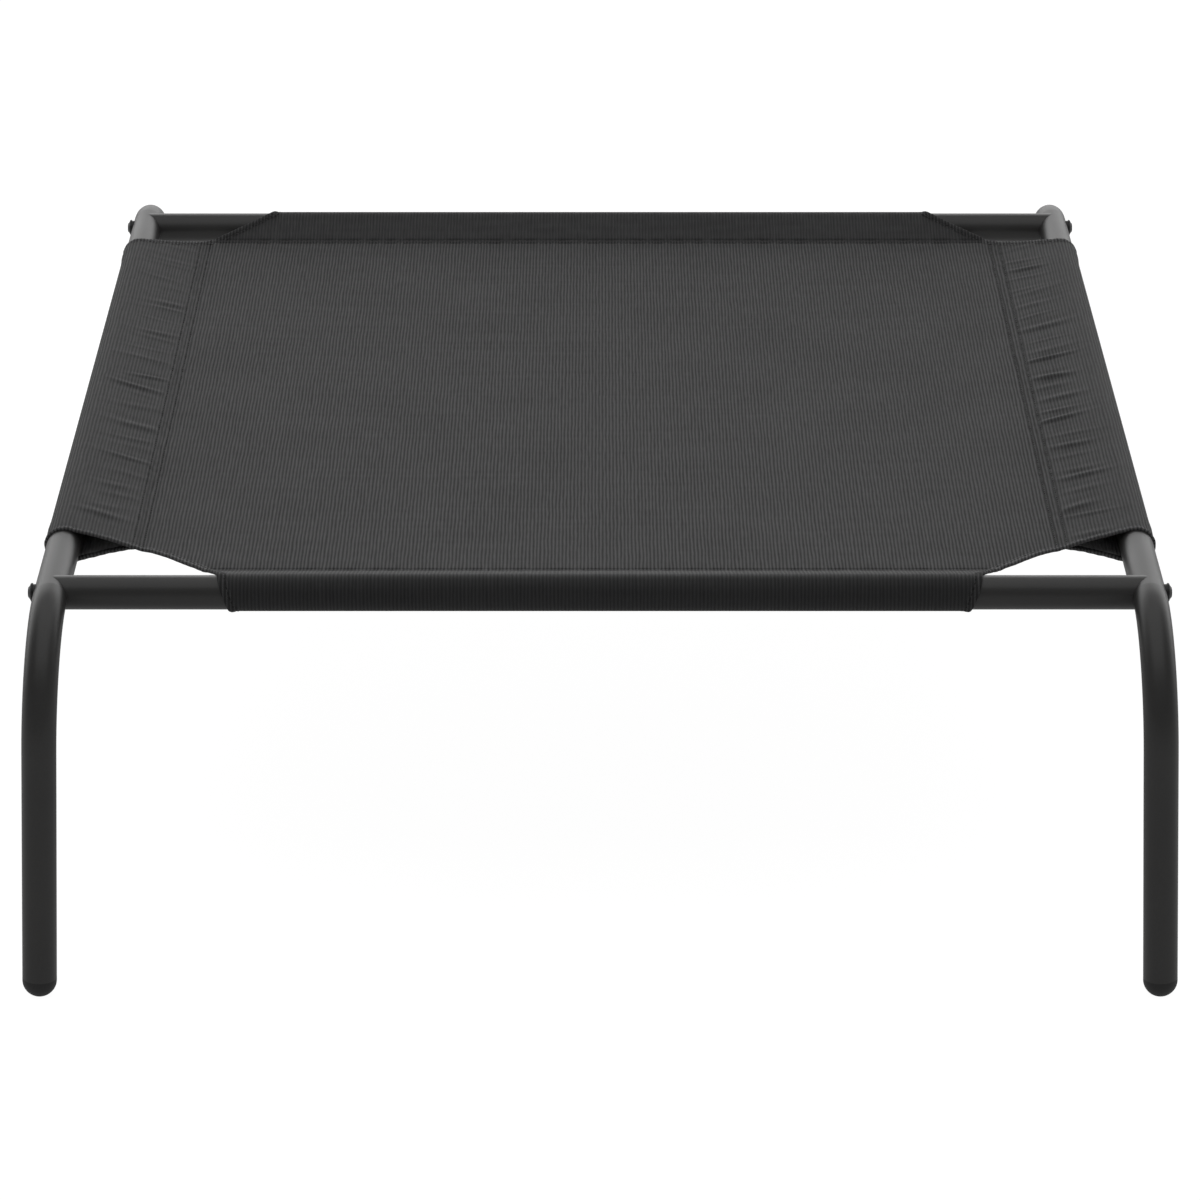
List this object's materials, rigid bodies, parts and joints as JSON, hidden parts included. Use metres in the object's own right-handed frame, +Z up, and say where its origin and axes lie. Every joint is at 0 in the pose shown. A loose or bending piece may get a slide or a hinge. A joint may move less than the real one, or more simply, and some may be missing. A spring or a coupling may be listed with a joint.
{
  "type": "elevated dog bed",
  "caption": "Raised dog cot with a dark mesh sheet sewn round two bent steel side frames and two bolted crossbars.",
  "frame": {"origin": "on the floor, under the middle of the bed, at the bottom centre of its box", "axes": "+Z up, X across the width between the two side frames, Y along the length with the front at -Y"},
  "size_m": [0.8374, 1.099, 0.2886],
  "materials": {
    "powder_coated_tube": "satin fine-grain powder coat",
    "black_bolt": "black phosphate",
    "black_washer": "matte",
    "black_foot": "matte",
    "insert_plug": "matte",
    "sheet_mesh": "ribbed woven mesh",
    "sleeve_mesh": "ribbed woven mesh",
    "hem_cloth": "woven",
    "sewing_thread": "twisted thread"
  },
  "bodies": {
    "root": {"front_crossbar": "powder_coated_tube", "front_left_bolt": "black_bolt", "front_left_corner_hem": "hem_cloth", "front_left_foot_plug": "black_foot", "front_left_saddle_washer": "black_washer", "front_left_threaded_insert": "insert_plug", "front_right_bolt": "black_bolt", "front_right_corner_hem": "hem_cloth", "front_right_foot_plug": "black_foot", "front_right_saddle_washer": "black_washer", "front_right_threaded_insert": "insert_plug", "front_sleeve": "sleeve_mesh", "front_sleeve_stitching": "sewing_thread", "left_side_frame": "powder_coated_tube", "left_sleeve": "sleeve_mesh", "left_sleeve_stitching": "sewing_thread", "rear_crossbar": "powder_coated_tube", "rear_left_bolt": "black_bolt", "rear_left_corner_hem": "hem_cloth", "rear_left_foot_plug": "black_foot", "rear_left_saddle_washer": "black_washer", "rear_left_threaded_insert": "insert_plug", "rear_right_bolt": "black_bolt", "rear_right_corner_hem": "hem_cloth", "rear_right_foot_plug": "black_foot", "rear_right_saddle_washer": "black_washer", "rear_right_threaded_insert": "insert_plug", "rear_sleeve": "sleeve_mesh", "rear_sleeve_stitching": "sewing_thread", "right_side_frame": "powder_coated_tube", "right_sleeve": "sleeve_mesh", "right_sleeve_stitching": "sewing_thread", "sleeping_sheet": "sheet_mesh"}
  },
  "joints": []
}
